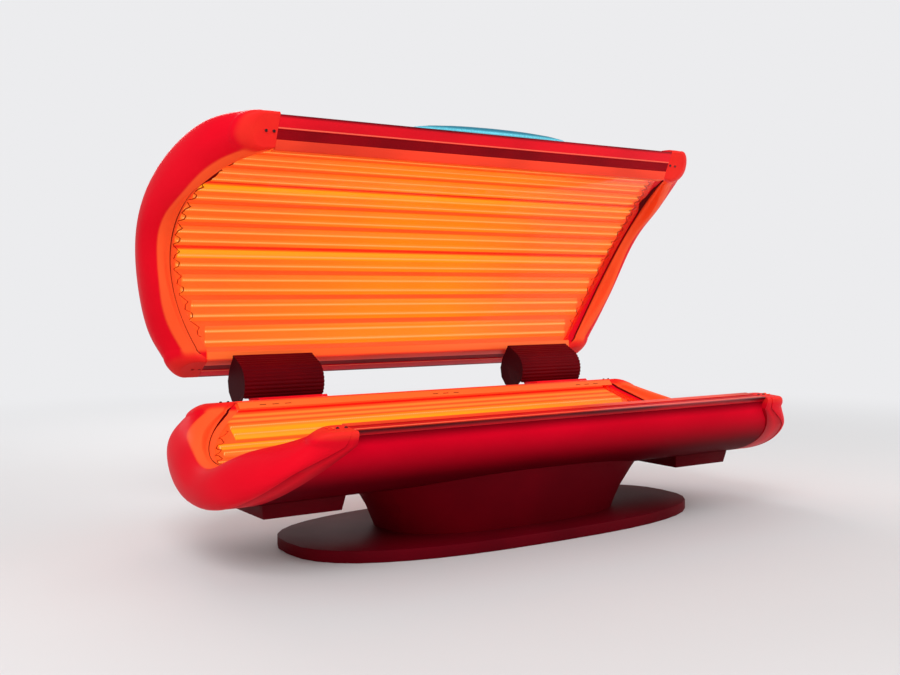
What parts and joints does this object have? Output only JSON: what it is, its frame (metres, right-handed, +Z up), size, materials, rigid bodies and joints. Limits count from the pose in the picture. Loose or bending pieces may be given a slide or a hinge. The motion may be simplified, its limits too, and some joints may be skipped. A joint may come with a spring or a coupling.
{
  "type": "red light therapy bed",
  "caption": "Lay-down red light therapy bed: LED trough under clear curved acrylic on an oval pedestal, with a rear-hinged LED canopy held open by gas springs.",
  "frame": {"origin": "on the floor under the middle of the base plate", "axes": "+X along the bed, to the right as seen from the open front; -Y towards the open front; +Z up"},
  "size_m": [2.426, 1.2932, 1.4744],
  "materials": {
    "shell_red": "satin moulded",
    "pan_red": "satin moulded",
    "base_maroon": "fine texture",
    "rail_metal": "satin anodised",
    "strip_maroon": "gloss",
    "clear_acrylic": "clear",
    "led_board": "solder mask",
    "tray_metal": "bright sheet",
    "cover_black": "moulded ribs",
    "bracket_steel": "powder coat",
    "pin_steel": "ground",
    "spring_black": "gloss",
    "rod_chrome": "polished",
    "fan_black": "moulded",
    "frame_metal": "mill finish",
    "driver_metal": "mill finish",
    "lens_cyan": "frosted"
  },
  "bodies": {
    "bed": {"bed_end_cap_left": "shell_red", "bed_end_cap_right": "shell_red", "bed_front_rail": "rail_metal", "bed_front_strip": "strip_maroon", "bed_rear_rail": "rail_metal", "bed_rear_strip": "strip_maroon", "bed_acrylic": "clear_acrylic", "bed_reflector": "tray_metal", "bed_led_board_1": "led_board", "bed_led_board_2": "led_board", "bed_led_board_3": "led_board", "bed_led_board_4": "led_board", "bed_led_board_5": "led_board", "bed_led_board_6": "led_board", "bed_led_board_7": "led_board", "bed_led_board_8": "led_board", "base_plate": "base_maroon", "pedestal": "pan_red", "led_driver": "driver_metal", "bed_frame": "frame_metal", "belly_pan_front": "pan_red", "belly_pan_rear": "pan_red", "air_box_left": "pan_red", "fan_frame_left": "fan_black", "hinge_bracket_left": "bracket_steel", "hinge_pin_left": "pin_steel", "hinge_cover_left": "cover_black", "gas_cylinder_left": "spring_black", "air_box_right": "pan_red", "fan_frame_right": "fan_black", "hinge_bracket_right": "bracket_steel", "hinge_pin_right": "pin_steel", "hinge_cover_right": "cover_black", "gas_cylinder_right": "spring_black"},
    "canopy": {"canopy_end_cap_left": "shell_red", "canopy_end_cap_right": "shell_red", "canopy_front_rail": "rail_metal", "canopy_front_strip": "strip_maroon", "canopy_rear_rail": "rail_metal", "canopy_rear_strip": "strip_maroon", "canopy_acrylic": "clear_acrylic", "canopy_reflector": "tray_metal", "canopy_led_board_1": "led_board", "canopy_led_board_2": "led_board", "canopy_led_board_3": "led_board", "canopy_led_board_4": "led_board", "canopy_led_board_5": "led_board", "canopy_led_board_6": "led_board", "canopy_led_board_7": "led_board", "canopy_led_board_8": "led_board", "canopy_led_board_9": "led_board", "canopy_led_board_10": "led_board", "canopy_cover": "shell_red", "accent_lens": "lens_cyan", "hinge_yoke_left": "bracket_steel", "hinge_yoke_right": "bracket_steel"},
    "gas_rod_left": {"gas_rod_left": "rod_chrome"},
    "fan_rotor_left": {"fan_rotor_left": "fan_black"},
    "gas_rod_right": {"gas_rod_right": "rod_chrome"},
    "fan_rotor_right": {"fan_rotor_right": "fan_black"}
  },
  "joints": [
    {"name": "canopy_hinge", "type": "hinge", "parent": "bed", "child": "canopy", "pos_m": [0, 0.55025, 0.52494], "axis": [1, 0, 0], "range_deg": [0, 55]},
    {"name": "gas_rod_left_slide", "type": "slide", "parent": "bed", "child": "gas_rod_left", "axis": [0, 0, 1], "range_m": [-0.0511, 0]},
    {"name": "gas_rod_right_slide", "type": "slide", "parent": "bed", "child": "gas_rod_right", "axis": [0, 0, 1], "range_m": [-0.0511, 0]},
    {"name": "fan_left_spin", "type": "hinge", "parent": "bed", "child": "fan_rotor_left", "pos_m": [-0.8925, -0.03, 0.18], "axis": [0, 0, 1], "continuous": true},
    {"name": "fan_right_spin", "type": "hinge", "parent": "bed", "child": "fan_rotor_right", "pos_m": [0.8925, -0.03, 0.18], "axis": [0, 0, 1], "continuous": true}
  ],
  "couplings": [
    {"joint": "gas_rod_left_slide", "follows": "canopy_hinge", "m_per_rad": -0.052913},
    {"joint": "gas_rod_right_slide", "follows": "canopy_hinge", "m_per_rad": -0.052913}
  ]
}
